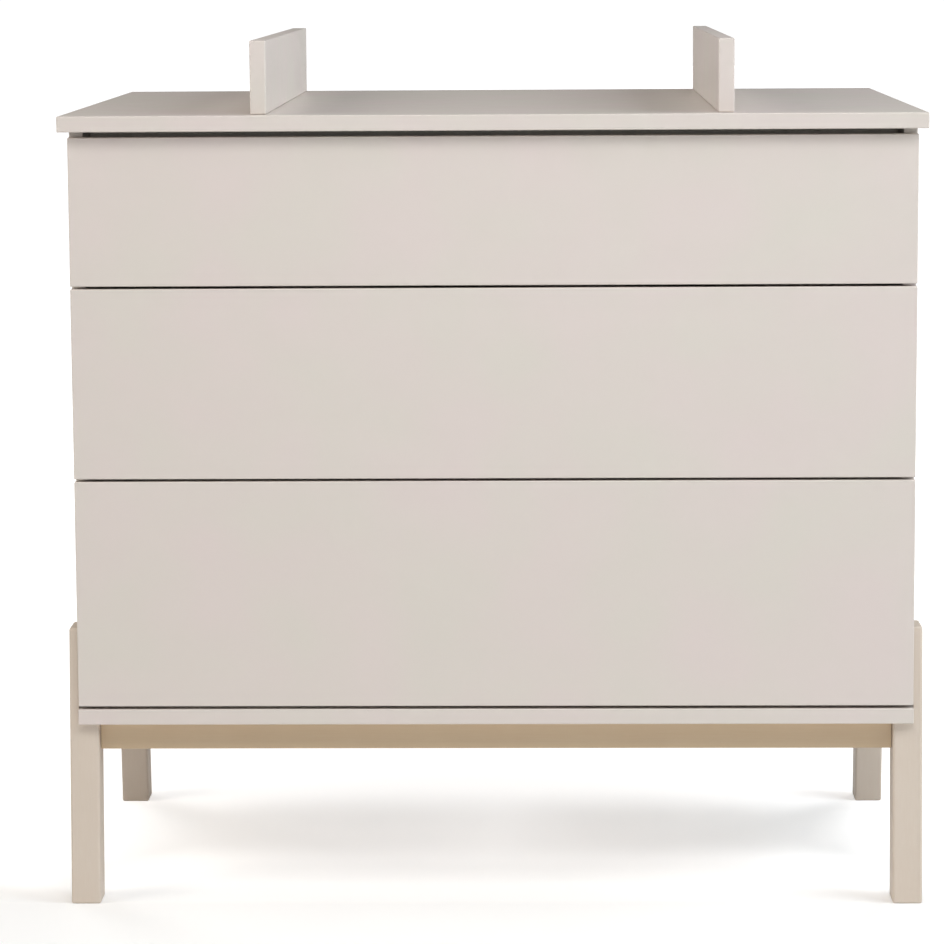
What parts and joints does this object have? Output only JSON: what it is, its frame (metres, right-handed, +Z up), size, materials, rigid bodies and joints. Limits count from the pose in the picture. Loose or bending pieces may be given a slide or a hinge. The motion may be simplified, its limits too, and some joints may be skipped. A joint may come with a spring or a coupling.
{
  "type": "changing table",
  "caption": "Baby changing table: handleless drawer chest on leaning legs under a deep overhanging top, with low barrier boards beside the mat space; satin greige lacquer.",
  "frame": {"origin": "on the floor under the middle of the top board", "axes": "+X to the right seen from the front, +Y from the drawers to the wall, +Z up"},
  "size_m": [0.983, 0.72, 0.9933],
  "materials": {
    "lacquered_board": "satin greige lacquer on MDF",
    "lacquered_beech": "satin clay lacquer on beech",
    "melamine_board": "pale melamine on particle board",
    "hardboard": "thin lacquered hardboard",
    "zinc_steel": "zinc plated, smooth",
    "grey_plastic": "moulded, fine texture"
  },
  "bodies": {
    "chassis": {"top_board": "lacquered_board", "barrier_left": "lacquered_board", "barrier_right": "lacquered_board", "side_panel_left": "lacquered_board", "side_panel_right": "lacquered_board", "bottom_panel": "lacquered_board", "back_panel": "hardboard", "stretcher_front": "melamine_board", "stretcher_rear": "melamine_board", "rail_front": "lacquered_beech", "rail_rear": "lacquered_beech", "wall_bracket": "zinc_steel", "leg_front_left": "lacquered_beech", "leg_front_right": "lacquered_beech", "leg_rear_left": "lacquered_beech", "leg_rear_right": "lacquered_beech", "leg_bolt_front_left": "zinc_steel", "leg_bolt_front_right": "zinc_steel", "leg_bolt_rear_left": "zinc_steel", "leg_bolt_rear_right": "zinc_steel", "slide_1_left_cabinet": "zinc_steel", "slide_1_right_cabinet": "zinc_steel", "slide_2_left_cabinet": "zinc_steel", "slide_2_right_cabinet": "zinc_steel", "slide_3_left_cabinet": "zinc_steel", "slide_3_right_cabinet": "zinc_steel", "catch_1_left": "grey_plastic", "catch_1_right": "grey_plastic", "catch_2_left": "grey_plastic", "catch_2_right": "grey_plastic", "catch_3_left": "grey_plastic", "catch_3_right": "grey_plastic"},
    "drawer_1": {"drawer_1_front": "lacquered_board", "drawer_1_side_left": "melamine_board", "drawer_1_side_right": "melamine_board", "drawer_1_back": "melamine_board", "drawer_1_base": "hardboard", "slide_1_left_drawer": "zinc_steel", "slide_1_right_drawer": "zinc_steel"},
    "runners_1": {"slide_1_left_middle": "zinc_steel", "slide_1_right_middle": "zinc_steel"},
    "drawer_2": {"drawer_2_front": "lacquered_board", "drawer_2_side_left": "melamine_board", "drawer_2_side_right": "melamine_board", "drawer_2_back": "melamine_board", "drawer_2_base": "hardboard", "slide_2_left_drawer": "zinc_steel", "slide_2_right_drawer": "zinc_steel"},
    "runners_2": {"slide_2_left_middle": "zinc_steel", "slide_2_right_middle": "zinc_steel"},
    "drawer_3": {"drawer_3_front": "lacquered_board", "drawer_3_side_left": "melamine_board", "drawer_3_side_right": "melamine_board", "drawer_3_back": "melamine_board", "drawer_3_base": "hardboard", "slide_3_left_drawer": "zinc_steel", "slide_3_right_drawer": "zinc_steel"},
    "runners_3": {"slide_3_left_middle": "zinc_steel", "slide_3_right_middle": "zinc_steel"}
  },
  "joints": [
    {"name": "drawer_1_slide", "type": "slide", "parent": "chassis", "child": "drawer_1", "axis": [0, -1, 0], "range_m": [-0.002, 0.4]},
    {"name": "runners_1_slide", "type": "slide", "parent": "chassis", "child": "runners_1", "axis": [0, -1, 0], "range_m": [-0.001, 0.2]},
    {"name": "drawer_2_slide", "type": "slide", "parent": "chassis", "child": "drawer_2", "axis": [0, -1, 0], "range_m": [-0.002, 0.4]},
    {"name": "runners_2_slide", "type": "slide", "parent": "chassis", "child": "runners_2", "axis": [0, -1, 0], "range_m": [-0.001, 0.2]},
    {"name": "drawer_3_slide", "type": "slide", "parent": "chassis", "child": "drawer_3", "axis": [0, -1, 0], "range_m": [-0.002, 0.4]},
    {"name": "runners_3_slide", "type": "slide", "parent": "chassis", "child": "runners_3", "axis": [0, -1, 0], "range_m": [-0.001, 0.2]}
  ],
  "couplings": [
    {"joint": "runners_1_slide", "follows": "drawer_1_slide", "ratio": 0.5},
    {"joint": "runners_2_slide", "follows": "drawer_2_slide", "ratio": 0.5},
    {"joint": "runners_3_slide", "follows": "drawer_3_slide", "ratio": 0.5}
  ]
}
